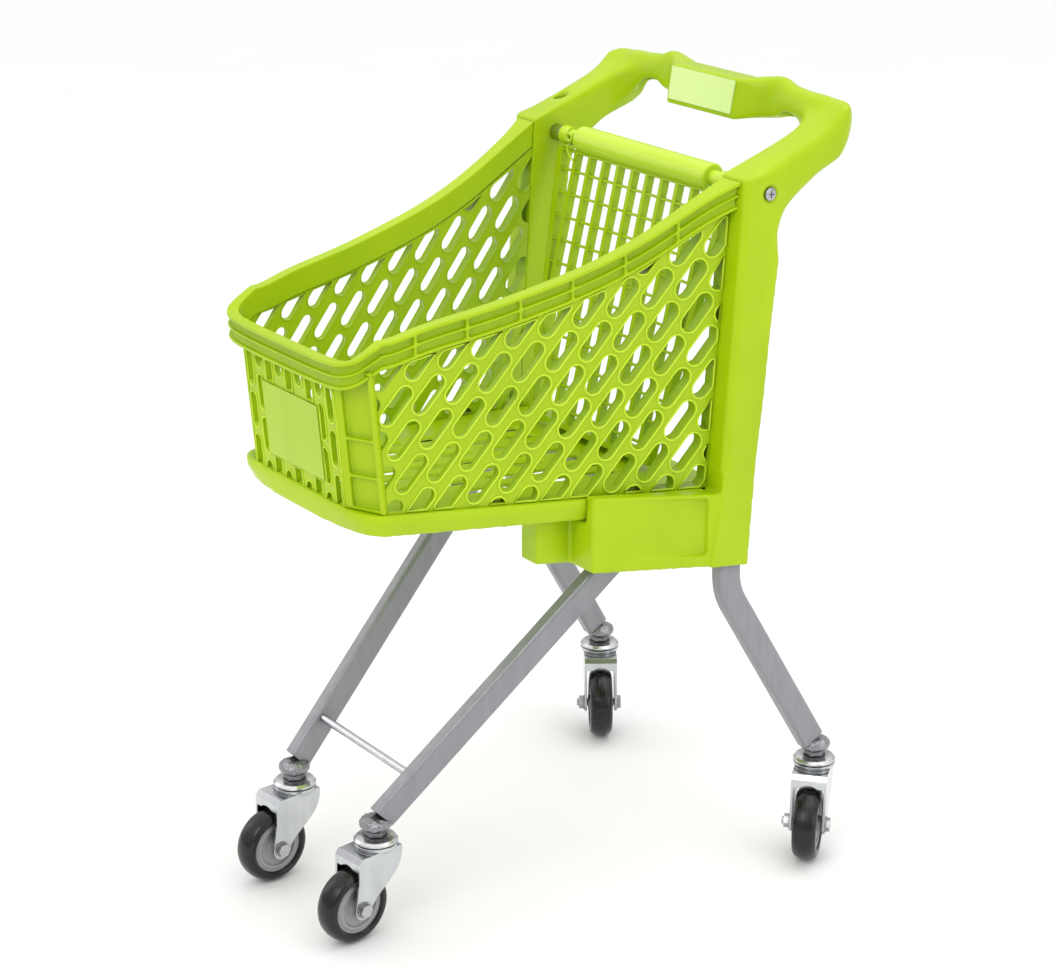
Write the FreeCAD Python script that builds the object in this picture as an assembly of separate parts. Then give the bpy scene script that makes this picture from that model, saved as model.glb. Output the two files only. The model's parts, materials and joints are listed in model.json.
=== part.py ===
"""Child-size supermarket shopping cart, built as separate named pieces.

Units are millimetres, +Z is up and the nose of the cart points to -Y.
Working coordinates: x = 0 on the centre plane, z = 0 on the floor and
y = 0 at the rear caster stems.  Every finished piece is moved by
+REAR_STEM_Y, so the frame origin is on the floor under the middle of the cart.
"""
import math
import os

import FreeCAD
import Part

V = FreeCAD.Vector

# ---------------------------------------------------------------- dimensions
REAR_STEM_Y = 246.0          # rear caster stems behind the frame origin

# casters
WHEEL_R = 37.5               # 75 mm wheels
WHEEL_W = 25.0
HUB_R = 26.5
HUB_W = 22.0
AXLE_R = 4.0
TRAIL = 31.0                 # axle behind the swivel axis
CAP_TOP = 101.3              # top of the upper bearing cap
CAP_R = 21.5
KINGPIN_R = 6.0
RUN = 0.05                   # radial running clearance
FORK_IN = 15.5               # half the gap between the fork legs
FORK_T = 2.6
FRONT_STEM = (76.2, -462.2)
REAR_STEM = (183.4, 0.0)
HEADINGS = {"front_left": 8.0, "front_right": 6.0, "rear_left": 41.0, "rear_right": 56.0}

# steel frame
TUBE_W = 27.0                # flat-oval leg tube, wide way
TUBE_T = 16.0                # narrow way
TIE_R = 4.0

# basket shell
NOSE_Y = -489.0              # front wall at the tray
NOSE_Z = 440.0
LEAN = 0.0885                # forward lean of the front wall
SIDE_Y = -470.0              # front end of the side walls
WALL_X = 113.5               # outer face of the side wall at its front end
WALL_K = 0.148               # how fast the side walls spread apart
WALL_XI = 108.5              # inner face at the front end
WALL_KI = 0.122
LIP_K = -0.084               # fall of the tray towards the rear
LIP_H = 22.0
POST_X = 80.0                # front wall ends here
RIM_H = 25.5

# slots of the side walls
SLOT_ANGLE = 49.0
SLOT_L = 41.5

# rear columns and arms
COL_IN = 150.0
COL_OUT = 188.0
HINGE_Y = -87.0
HINGE_Z = 698.5

# gate
GATE_LEAN = 13.6             # degrees from vertical
GATE_TOP_W = 138.0           # half widths
GATE_BOT_W = 101.0
GATE_LEN = 287.0
GATE_T = 8.0
ROLL_R = 13.5
BAR_PITCH = 23.5
RIB_PITCH = 23.5

RIM_TOP = [(-470, 603.0), (-435, 609.5), (-400, 616.0), (-360, 622.5), (-320, 631.0), (-280, 640.5),
           (-240, 652.5), (-200, 668.5), (-160, 688.5), (-134, 702.0), (-106, 717.0)]


# ------------------------------------------------------------------- helpers
def lerp(table, t):
    """Smooth interpolation through a short table of (t, value)."""
    n = len(table)
    for i in range(n - 1):
        if t <= table[i + 1][0] or i == n - 2:
            break
    (t0, a), (t1, b) = table[i], table[i + 1]
    h = t1 - t0
    m0 = (b - table[i - 1][1]) / (t1 - table[i - 1][0]) if i else (b - a) / h
    m1 = (table[i + 2][1] - a) / (table[i + 2][0] - t0) if i + 2 < n else (b - a) / h
    s = (t - t0) / h
    return ((2 * s ** 3 - 3 * s ** 2 + 1) * a + (s ** 3 - 2 * s ** 2 + s) * h * m0
            + (-2 * s ** 3 + 3 * s ** 2) * b + (s ** 3 - s ** 2) * h * m1)


def rim_z(y):
    return lerp(RIM_TOP, y)


def lip_z(y):
    """Height of the sloping tray edge at y."""
    return NOSE_Z + LIP_K * (y - SIDE_Y)


def wall_out(y):
    return WALL_X + WALL_K * (y - SIDE_Y)


def wall_in(y):
    return WALL_XI + WALL_KI * (y - SIDE_Y)


def wire(points):
    pts = [V(*p) for p in points]
    return Part.makePolygon(pts + [pts[0]])


def prism(points, vec):
    return Part.Face(wire(points)).extrude(V(*vec))


def slab_yz(points, x0, x1):
    """Side profile (y, z) pulled from x0 to x1."""
    return prism([(x0, y, z) for y, z in points], (x1 - x0, 0, 0))


def loft(sections, ruled=True):
    return Part.makeLoft([wire(s) for s in sections], True, ruled)


def box(x0, x1, y0, y1, z0, z1):
    return Part.makeBox(x1 - x0, y1 - y0, z1 - z0, V(x0, y0, z0))


def rod(r, p, q):
    p, q = V(*p), V(*q)
    d = q - p
    return Part.makeCylinder(r, d.Length, p, d)


def fuse(parts):
    out = parts[0]
    if len(parts) > 1:
        out = out.multiFuse(parts[1:])
    return out.removeSplitter()


def mirror(shape):
    return shape.mirror(V(0, 0, 0), V(1, 0, 0))


def spline_edge(points):
    c = Part.BSplineCurve()
    c.interpolate([V(*p) for p in points])
    return c.toShape()


def smooth_path(points, n):
    """Dense points of a smooth curve through the given 2-D points."""
    pts = [(2 * points[0][0] - points[1][0], 2 * points[0][1] - points[1][1])] + list(points)
    pts.append((2 * points[-1][0] - points[-2][0], 2 * points[-1][1] - points[-2][1]))
    out = []
    for i in range(1, len(pts) - 2):
        p = pts[i - 1:i + 3]
        t = [0.0]
        for a, b in zip(p, p[1:]):
            t.append(t[-1] + math.sqrt(math.hypot(b[0] - a[0], b[1] - a[1])))
        for k in range(n):
            u = t[1] + (t[2] - t[1]) * k / n
            q = []
            for c in (0, 1):
                a = [(t[j + 1] - u) / (t[j + 1] - t[j]) * p[j][c] + (u - t[j]) / (t[j + 1] - t[j]) * p[j + 1][c]
                     for j in range(3)]
                b = [(t[j + 2] - u) / (t[j + 2] - t[j]) * a[j] + (u - t[j]) / (t[j + 2] - t[j]) * a[j + 1]
                     for j in range(2)]
                q.append((t[2] - u) / (t[2] - t[1]) * b[0] + (u - t[1]) / (t[2] - t[1]) * b[1])
            out.append(tuple(q))
    return out + [tuple(points[-1])]


def inset(path, amount):
    """Move an open path to its right-hand side, fading to nothing at both ends."""
    n = len(path)
    out = [path[0]]
    for i in range(1, n - 1):
        dx, dy = path[i + 1][0] - path[i - 1][0], path[i + 1][1] - path[i - 1][1]
        ln = math.hypot(dx, dy)
        f = amount * min(1.0, i / 4.0, (n - 1 - i) / 4.0)
        out.append((path[i][0] + dy / ln * f, path[i][1] - dx / ln * f))
    return out + [path[-1]]


def line(p, q):
    return Part.LineSegment(V(*p), V(*q)).toShape()


def racetrack(centre, along, across, length, width):
    """Round-ended slot outline in the plane of the two unit vectors."""
    c, a, b = V(*centre), V(*along), V(*across)
    h, r = (length - width) / 2.0, width / 2.0
    p1, p2 = c + a * h + b * r, c - a * h + b * r
    p3, p4 = c - a * h - b * r, c + a * h - b * r
    e = [Part.LineSegment(p1, p2).toShape(), Part.Arc(p2, c - a * (h + r), p3).toShape(),
         Part.LineSegment(p3, p4).toShape(), Part.Arc(p4, c + a * (h + r), p1).toShape()]
    return Part.Wire(e)


def oval_section(centre, wide, narrow, w, t, r):
    """Rounded rectangle: w along `wide`, t along `narrow`."""
    c = V(*centre)
    u, v = V(*wide), V(*narrow)
    u.normalize()
    v.normalize()
    a, b = w / 2.0, t / 2.0
    k = r * (1 - math.sqrt(0.5))
    e = []
    corners = [(1, 1), (-1, 1), (-1, -1), (1, -1)]
    for i, (su, sv) in enumerate(corners):
        nu, nv = corners[(i + 1) % 4]
        if i % 2 == 0:
            s0, s1 = c + u * su * a + v * sv * (b - r), c + u * su * (a - r) + v * sv * b
        else:
            s0, s1 = c + u * su * (a - r) + v * sv * b, c + u * su * a + v * sv * (b - r)
        mid = c + u * su * (a - k) + v * sv * (b - k)
        e.append(Part.Arc(s0, mid, s1).toShape())
        if i % 2 == 0:
            n0 = c + u * nu * (a - r) + v * nv * b
        else:
            n0 = c + u * nu * a + v * nv * (b - r)
        e.append(Part.LineSegment(s1, n0).toShape())
    return Part.Wire(e)


def swept_tube(stations, w, t, r, ruled=False):
    """Loft a flat-oval section through stations of (centre, wide direction)."""
    return Part.makeLoft([oval_section(c, d, (1, 0, 0), w, t, r) for c, d in stations], True, ruled)


def inside(poly, p):
    hit = False
    for i, (x0, y0) in enumerate(poly):
        x1, y1 = poly[i - 1]
        if (y0 > p[1]) != (y1 > p[1]) and p[0] < (x1 - x0) * (p[1] - y0) / (y1 - y0) + x0:
            hit = not hit
    return hit


NODES = {}


def add(name, shape):
    NODES[name] = shape


def add_pair(name, shape):
    """Left piece as drawn (+X side) and its mirror image on the right."""
    add(name + "_left", shape)
    add(name + "_right", mirror(shape))


# ------------------------------------------------------- rear columns + arms
ARM = [(-114, 714), (-92, 722.5), (-70, 731), (-50, 738.5), (-30, 746.5), (-14, 753.5), (-3, 759.5),
       (6, 766), (12, 770.3), (17, 771.8), (22, 769.5), (25, 763), (25.5, 755), (24, 744), (18.5, 731),
       (8, 720.5), (-7.2, 714), (-23, 707), (-35, 699.5), (-50.5, 689), (-62.3, 678), (-67.8, 666),
       (-70.5, 652), (-72.5, 633)]
COLUMN = [(-80, 566), (-86, 498), (-93, 438), (-97, 378), (-100, 332), (-146, 338.5), (-134.8, 410)]


def column_outline(amount, corner=0.0):
    """Side outline of a rear column with its arm; the handle corner can be drawn in further."""
    path = smooth_path(ARM, 3)
    full, tip = inset(path, amount), inset(path, min(amount, 3.6))
    out = []
    for (y, z), (a, b) in zip(full, tip):
        w = max(0.0, min(1.0, (y + 30.0) / 24.0)) * max(0.0, min(1.0, (z - 712.0) / 16.0))
        w = w * w * (3 - 2 * w)
        y, z = y + (a - y) * w, z + (b - z) * w
        out.append((y - corner * w * max(0.0, (y + 16.0) / 41.0), z))
    return out + COLUMN


def bar_hollow(x0, x1):
    """Channel open from below inside the ends of the handle bar."""
    return slab_yz([(5.0, 725), (4.8, 756), (7.0, 764), (11.5, 768.5), (17, 768.5), (21.5, 762), (22.8, 753),
                    (22.8, 725)], x0, x1)


def build_column():
    rounding = [(COL_IN, 0.0, 0.0), (166.0, 0.0, 0.0), (172.0, 0.0, 1.2), (176.0, 0.0, 3.0), (180.0, 0.7, 5.4),
                (183.0, 2.2, 7.8), (185.5, 4.4, 10.0), (187.2, 6.8, 12.0), (COL_OUT, 8.6, 13.5)]
    body = loft([[(x, y, z) for y, z in column_outline(e, c)] for x, e, c in rounding])
    # inner corner between the arm and the handle bar
    inner = slab_yz(column_outline(0.0), 104.0, COL_IN)
    curve = smooth_path([(104, 750.5), (116, 747.5), (126, 740.5), (136, 730), (144, 719), (COL_IN, 704)], 4)
    keep = prism([(COL_IN, -60, 800), (104, -60, 800)] + [(x, -60, z) for x, z in curve], (0, 95, 0))
    plan = smooth_path([(104, 0.3), (118, 0.0), (130, -2.5), (140, -9), (146.5, -19), (COL_IN, -34)], 4)
    keep = keep.common(prism([(COL_IN, 40, 690), (104, 40, 690)] + [(x, y, 690) for x, y in plan], (0, 0, 110)))
    corner = inner.common(keep)
    body = body.fuse(corner).removeSplitter()
    # the outer front edge runs into the rims and walls in a flat
    cuts = []
    for z in (432.0, 735.0):
        y = -134.8 + (z - 410.0) * 0.0684
        cuts.append([(COL_OUT + 2, y - 2, z), (COL_OUT + 2, y + 8.5, z), (COL_OUT - 6.5, y - 2, z)])
    body = body.cut(loft(cuts))
    # socket for the upper end of the rear leg
    body = body.cut(box(164.5, 184.5, -132.0, -102.0, 330, 394))
    # pivot screw hole with a round recess in a raised ring
    ring = rod(11.0, (COL_OUT - 1, HINGE_Y, HINGE_Z), (COL_OUT + 1.2, HINGE_Y, HINGE_Z))
    body = body.fuse(ring).removeSplitter()
    body = body.cut(rod(9.0, (COL_OUT - 1.0, HINGE_Y, HINGE_Z), (COL_OUT + 4, HINGE_Y, HINGE_Z)))
    body = body.cut(rod(3.2, (COL_IN - 5, HINGE_Y, HINGE_Z), (COL_OUT + 4, HINGE_Y, HINGE_Z)))
    # underside of the arm: shallow lightening channel
    body = body.cut(prism([(156, -42, 706), (179, -42, 706), (179, 8, 742), (156, 8, 742)], (0, 0, -45)))
    body = body.cut(bar_hollow(100.0, 137.0))
    return body


FLAG_X, FLAG_Y, FLAG_R, FLAG_DEPTH = -171.0, -66.5, 7.0, 40.0


def build_columns():
    col = build_column()
    add("column_left", col)
    right = mirror(col)
    top = 731.0
    right = right.cut(rod(FLAG_R, (FLAG_X, FLAG_Y, top - FLAG_DEPTH), (FLAG_X, FLAG_Y, top + 20)))
    add("column_right", right)
    return col


# --------------------------------------------------------------- side walls
def build_side_wall(col, skew=0.0, back=(0.0, 0.0), slim=0.0):
    d = V(WALL_K, 1, 0)
    d.normalize()
    n = V(d.y, -d.x, 0)
    p0 = V(WALL_X, SIDE_Y, 0)

    def at(s, z, out=0.0):
        return p0 + d * s + V(0, 0, z) + n * out

    def s_of(y):
        return (y - SIDE_Y) / d.y
    ys = [-486 + 380.0 * i / 24 for i in range(25)]
    top = [(s_of(y), rim_z(max(y, -470)) - RIM_H - 0.1) for y in ys]
    bottom = [(s_of(-100), lip_z(-100)), (s_of(SIDE_Y), NOSE_Z)]
    # leaning front edge beside the corner post
    front_top = s_of(SIDE_Y - LEAN * (577 - NOSE_Z))
    top = [(front_top, 577.4)] + [p for p in top if p[0] > 1.0]
    outline = bottom + top
    wall = Part.Face(Part.makePolygon([at(*p) for p in outline + [outline[0]]])).extrude(n * -26.0)
    far = wall_in(-90)
    near = wall_in(-500)
    wall = wall.cut(prism([(near, -500, 300), (far, -90, 300), (0, -90, 300), (0, -500, 300)], (0, 0, 600)))
    wall = wall.cut(col)
    # slots, cut off where they meet a border
    margin = 2.2
    rear_s = [(s_of(-134.8 + (z - 414) * 0.0683) - margin, z) for z in (405, 720)]
    border = [(rear_s[0][0], lip_z(-134) + margin), (s_of(SIDE_Y) + margin, NOSE_Z + margin),
              (front_top + margin, 577.0 - margin)]
    border += [(s, z - margin) for s, z in top[1:] if s < rear_s[1][0] - 4]
    border.append((s_of(-116) - margin, rim_z(-116) - RIM_H - margin))
    clip = Part.Face(Part.makePolygon([at(p[0], p[1], 2) for p in border + [border[0]]])).extrude(n * -34.0)
    a = math.radians(SLOT_ANGLE)
    along = d * math.cos(a) + V(0, 0, math.sin(a))
    across = d * -math.sin(a) + V(0, 0, math.cos(a))
    tools = []
    for row in range(-8, 5):
        for i in range(-2, 12):
            y = -448.6 + 31.6 * i + 0.27 * i * i + 6.8 * row
            z = 508.2 + 6.3 * i - 0.12 * i * i - 33.2 * row
            y += back[0] + (back[1] - back[0]) * i / 11.0
            width = 15.6 + 0.42 * i - slim
            length = SLOT_L + 0.1 * i - slim
            s = s_of(y)
            depth = 1.0 + wall_out(y) - wall_in(y)
            loop = racetrack(at(s + skew * depth, z, 1), along, across, length, width)
            h, r = (length - width) / 2.0, width / 2.0
            ring = []
            for k in range(16):
                t = 2 * math.pi * k / 16
                e = h * (1 if math.cos(t) > 0 else -1) + r * math.cos(t)
                ring.append((s + e * math.cos(a) - r * math.sin(t) * math.sin(a),
                             z + e * math.sin(a) + r * math.sin(t) * math.cos(a)))
            hits = sum(inside(border, p) for p in ring)
            if hits == 0:
                continue
            cutter = Part.Face(loop).extrude((n + d * skew) * -30.0)
            if hits < 16:
                cutter = cutter.common(clip)
                if cutter.Volume < 30.0 * 30.0:
                    continue
            tools += cutter.Solids
    wall = wall.cut(Part.makeCompound(tools))
    return max(wall.Solids, key=lambda q: q.Volume)


# ------------------------------------------------------------------- rims
def comb(outer, inner, z, grooves=True):
    """Rim section as (distance across, height): top band and two ribs."""
    g = outer - 5.5
    return [(inner, z), (outer, z), (outer, z - 3.8), (g, z - 3.8), (g, z - 12.0), (outer - 0.6, z - 12.0),
            (outer - 0.6, z - 14.0), (g, z - 14.0), (g, z - 22.4), (outer - 1.2, z - 22.4),
            (outer - 1.2, z - RIM_H), (inner, z - RIM_H)]


def rim_out(y):
    return lerp([(-470, 117.6), (-400, 127.8), (-320, 139.4), (-240, 151.0), (-160, 163.5), (-136, 169.5),
                 (-120, 178.0), (-106, 187.0)], y)


def rim_in(y):
    return 106.0 + 0.1294 * (y - SIDE_Y)


def build_side_rim(col):
    secs = []
    for y, z in RIM_TOP:
        secs.append([(x, y, h) for x, h in comb(rim_out(y), rim_in(y), z)])
    rim = loft(secs, False)
    webs = []
    for y in (-437, -386, -333, -280, -226, -172):
        z = rim_z(y)
        webs.append(box(rim_out(y) - 7, rim_out(y) - 1.3, y - 1.3, y + 1.3, z - 23, z - 3))
    rim = rim.fuse(webs).removeSplitter()
    return rim.cut(col)


def build_front_rim():
    """Straight across the nose and round both corners to the side rims."""
    half = [((0, -507.5), (0, -1), 583.0), ((40, -507.5), (0, -1), 583.2), ((76, -507.3), (0, -1), 584.0),
            ((94, -506.0), (0.16, -1), 585.2), ((105, -502.6), (0.5, -0.87), 587.2),
            ((112.4, -495.6), (0.86, -0.5), 590.2), ((115.8, -486.5), (0.97, -0.24), 594.6),
            ((117.2, -477.0), (0.995, -0.1), 599.4), ((117.6, -470.0), (1, 0), 603.0)]
    stations = [((-x, y), (-nx, ny), z) for (x, y), (nx, ny), z in reversed(half[1:])] + half
    secs = []
    for (x, y), (nx, ny), z in stations:
        ln = math.hypot(nx, ny)
        nx, ny = nx / ln, ny / ln
        secs.append([(x + nx * (o - 11.6), y + ny * (o - 11.6), h) for o, h in comb(11.6, 0.0, z)])
    return loft(secs, False)


# ------------------------------------------------------------- front of basket
def lean_y(z, y0=NOSE_Y):
    return y0 - LEAN * (z - NOSE_Z)


def build_front_wall(tray):
    top_z = 557.6
    n = V(0, -1, -LEAN)
    n.normalize()
    up = V(0, -LEAN, 1)
    up.normalize()

    def at(x, z, out=0.0):
        return V(x, lean_y(z), z) + n * out
    plate = Part.Face(Part.makePolygon([at(*p) for p in ((-POST_X, NOSE_Z), (POST_X, NOSE_Z), (POST_X, top_z),
                                                         (-POST_X, top_z), (-POST_X, NOSE_Z))]))
    plate = plate.extrude(n * -5.0)
    x1, z0, z1 = POST_X - 2.5, NOSE_Z + 1.5, top_z - 2.0
    clip = Part.Face(Part.makePolygon([at(x, z, 1) for x, z in ((-x1, z0), (x1, z0), (x1, z1), (-x1, z1), (-x1, z0))]))
    clip = clip.extrude(n * -8.0)
    keep = Part.Face(Part.makePolygon([at(x, z, 2) for x, z in ((-51, 457), (51, 457), (51, 534), (-51, 534),
                                                                (-51, 457))])).extrude(n * -10.0)
    tools = []
    for i in range(-4, 5):
        for j in range(-1, 4):
            z = (475.0 if i % 2 else 453.5) + 43.0 * j
            w, ln = 12.6, 36.0
            loop = racetrack(at(18.0 * i, z, 0.5), (up.x, up.y, up.z), (1, 0, 0), ln, w)
            c = Part.Face(loop).extrude(n * -7.0).common(clip)
            if abs(i) < 4:
                c = c.cut(keep)
            tools += [s for s in c.Solids if s.Volume > 200]
    plate = plate.cut(Part.makeCompound(tools))
    add("front_wall", plate.cut(tray))
    label = Part.Face(Part.makePolygon([at(x, z) for x, z in ((-49, 459), (49, 459), (49, 532), (-49, 532),
                                                              (-49, 459))])).extrude(n * 1.6)
    add("front_label_panel", label)


def build_corner_post(tray):
    """Recessed pillar between the front wall and a side wall, with two cross ribs."""
    top = 576.9
    h = top - NOSE_Z
    base = [(POST_X, NOSE_Y - 0.5), (117.0, -470.5), (113.0, -464.5), (106.0, -466.0), (POST_X, NOSE_Y + 6)]
    post = prism([(x, y, NOSE_Z) for x, y in base], (0, -LEAN * h, h))
    post = post.cut(tray)
    # recess in the slanted face
    f0, f1 = V(POST_X, NOSE_Y - 0.5, NOSE_Z), V(117.0, -470.5, NOSE_Z)
    t = f1 - f0
    t.normalize()
    nrm = V(t.y, -t.x, 0)
    a, b, depth = 8.5, (f1 - f0).Length - 5.0, 5.0
    zs = [(4.0, 33.5), (36.0, 69.5), (72.0, h - 2.0)]
    for z0, z1 in zs:
        p = [f0 + t * a + nrm * 1, f0 + t * b + nrm * 1, f0 + t * b - nrm * depth, f0 + t * a - nrm * depth]
        cutter = Part.Face(Part.makePolygon(p + [p[0]])).extrude(V(0, -LEAN * (z1 - z0), z1 - z0))
        cutter.translate(V(0, -LEAN * z0, z0))
        post = post.cut(cutter)
    # trim under the front rim and clear of the side wall
    return post


# ---------------------------------------------------------------------- tray
def build_tray(col):
    rear_y = -104.0
    lip = [(52.0, -493.2), (84.0, -493.0), (98.0, -490.6), (108.0, -485.5), (115.5, -478.0), (119.5, -468.0),
           (118.5 + 0.15 * 331, -140.0)]
    inner_rear = [(149.5, -140.0), (149.5, rear_y)]
    top = lip + inner_rear
    full_top = top + [(-x, y) for x, y in reversed(top)]
    low = [(36.0, -493.0), (70.0, -489.8), (90.0, -485.8), (102.0, -481.6), (109.0, -476.5), (114.5, -465.0),
           (114.5 + 0.15 * 331, -140.0)] + inner_rear
    full_low = low + [(-x, y) for x, y in reversed(low)]

    def layer(outline, drop):
        return [(x, y, lip_z(y) - drop) for x, y in outline]
    body = loft([layer(full_top, 0.0), layer(full_top, 8.0)])
    body = body.fuse(loft([layer(full_top, 8.0), layer(full_low, LIP_H)])).removeSplitter()
    # hollow underside, leaving the floor plate and the skirt
    cav_low = [(x * 0.955, -488.0 + (y + 488.0) * 0.985 + 5.0) for x, y in full_low]
    cavity = loft([layer(cav_low, 4.5), layer(cav_low, 40.0)])
    body = body.cut(cavity)
    # floor slots
    tools = []
    for i in range(-3, 4):
        for j in range(6):
            y = -445.0 + 49.0 * j
            if abs(i) * 27.0 > 66 + 0.13 * (y + 470):
                continue
            loop = racetrack((27.0 * i, y, 470), (0, 1, 0), (1, 0, 0), 36.0, 11.0)
            tools.append(Part.Face(loop).extrude(V(0, 0, -80)))
    body = body.cut(Part.makeCompound(tools))
    # gate stop: low rib behind the foot of the gate
    a = math.radians(GATE_LEAN)
    gy = HINGE_Y - (GATE_LEN - 6) * math.sin(a) + (GATE_T / 2 + 0.6) / math.cos(a)
    zf = lip_z(gy)
    stop = slab_yz([(gy - 0.5, zf + 10), (gy + 5.5, zf + 10), (gy + 6.5, zf - 2), (gy + 2.2, zf - 2)], -60, 60)
    body = body.fuse(stop).removeSplitter()
    return body.cut(col).cut(mirror(col))


def build_foot_box(col, tray):
    def sec(y, xi, xo, zb, zt, xlip, zlip):
        return [(xi, y, zb), (xo, y, zb), (xo, y, zt), (xlip, y, zt), (xlip, y, zlip), (xi, y, zlip)]
    front = sec(-268.0, 122.0, 160.5, 351.5, 427.0, 148.0, 400.0)
    back = sec(-134.0, 122.0, 185.5, 337.0, 411.0, 164.0, 388.6)
    shell = loft([front, back])
    zr = [(-232.0, 0.0, 0.3, 362.0, 419.5), (-147.0, 0.0, 6.2, 350.0, 408.0)]
    rec = []
    for y, _, dep, z0, z1 in zr:
        x_face = 160.5 + 25.0 * (y + 268.0) / 134.0
        rec.append([(x_face - dep, y, z0), (x_face + 3, y, z0), (x_face + 3, y, z1), (x_face - dep, y, z1)])
    shell = shell.cut(loft(rec))
    block = slab_yz([(-307, 404.0), (-307, 358), (-267.5, 351.5), (-267.5, 400.5)], 98.0, 124.5)
    shell = shell.fuse(block).removeSplitter()
    shell = shell.cut(slab_yz([(-262, 345), (-262, 384), (-150, 374), (-150, 320)], 110, 156))
    shell = shell.cut(slab_yz([(-302, 345), (-302, 392), (-262, 388), (-262, 345)], 102.5, 120))
    shell = shell.cut(col)
    return shell.cut(tray)


# --------------------------------------------------------------------- handle
BLOCK = [(-21.5, 737.0), (-21.3, 741.0), (-16.64, 768.0), (-15.4, 775.2), (-10, 776.4), (2, 776), (14, 774.5),
         (21, 770.5), (25.5, 763), (27, 752), (26.5, 741), (24, 737.5)]
SHOULDER = [(3, 740.5), (1.5, 744), (2.5, 762), (5, 774), (8, 779.5), (12.5, 782), (17, 781.5), (22, 777),
            (26, 768), (27, 756), (26.5, 741.5), (24, 738)]
NECK = [(2, 749.5), (0.3, 752), (0, 759), (1.6, 766.5), (5, 772), (10, 775.2), (15.5, 776), (21.5, 773),
        (26, 765.5), (27, 754), (26.5, 742.5), (24.5, 739.5)]
GRIP = [(2, 749.0), (0.3, 751.5), (0, 757.5), (1.6, 765), (5, 770.3), (10, 773.2), (15.5, 773.8), (21, 771),
        (25, 764), (25.6, 754), (25.2, 742), (23.5, 739)]


def build_handle(col):
    st = [(150.0, GRIP), (128.0, GRIP), (101.0, NECK), (90.0, SHOULDER), (80.0, SHOULDER), (51.0, BLOCK)]
    secs = [[(x, y, z) for y, z in s] for x, s in st]
    secs += [[(-x, y, z) for x, y, z in s] for s in reversed(secs)]
    bar = loft(secs)
    hollow = bar_hollow(86.0, 150.0)
    bar = bar.cut(hollow).cut(mirror(hollow))
    bar = bar.cut(col).cut(mirror(col))
    solids = sorted(bar.Solids, key=lambda s: -s.Volume)
    add("handle_bar", solids[0])
    lo, hi = V(0, *BLOCK[1]), V(0, *BLOCK[3])
    up = hi - lo
    up.normalize()
    n = V(0, -up.z, up.y)
    lo, hi = lo + up * 1.0, hi - up * 1.0
    p = [V(-48.5, lo.y, lo.z), V(48.5, lo.y, lo.z), V(49.5, hi.y, hi.z), V(-49.5, hi.y, hi.z)]
    add("handle_plaque", Part.Face(Part.makePolygon(p + [p[0]])).extrude(n * 1.4))
    c = (lo + hi) * 0.5 + n * 1.4
    print("plaque centre", c.y + REAR_STEM_Y, c.z, "normal", n.y, n.z)


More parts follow.
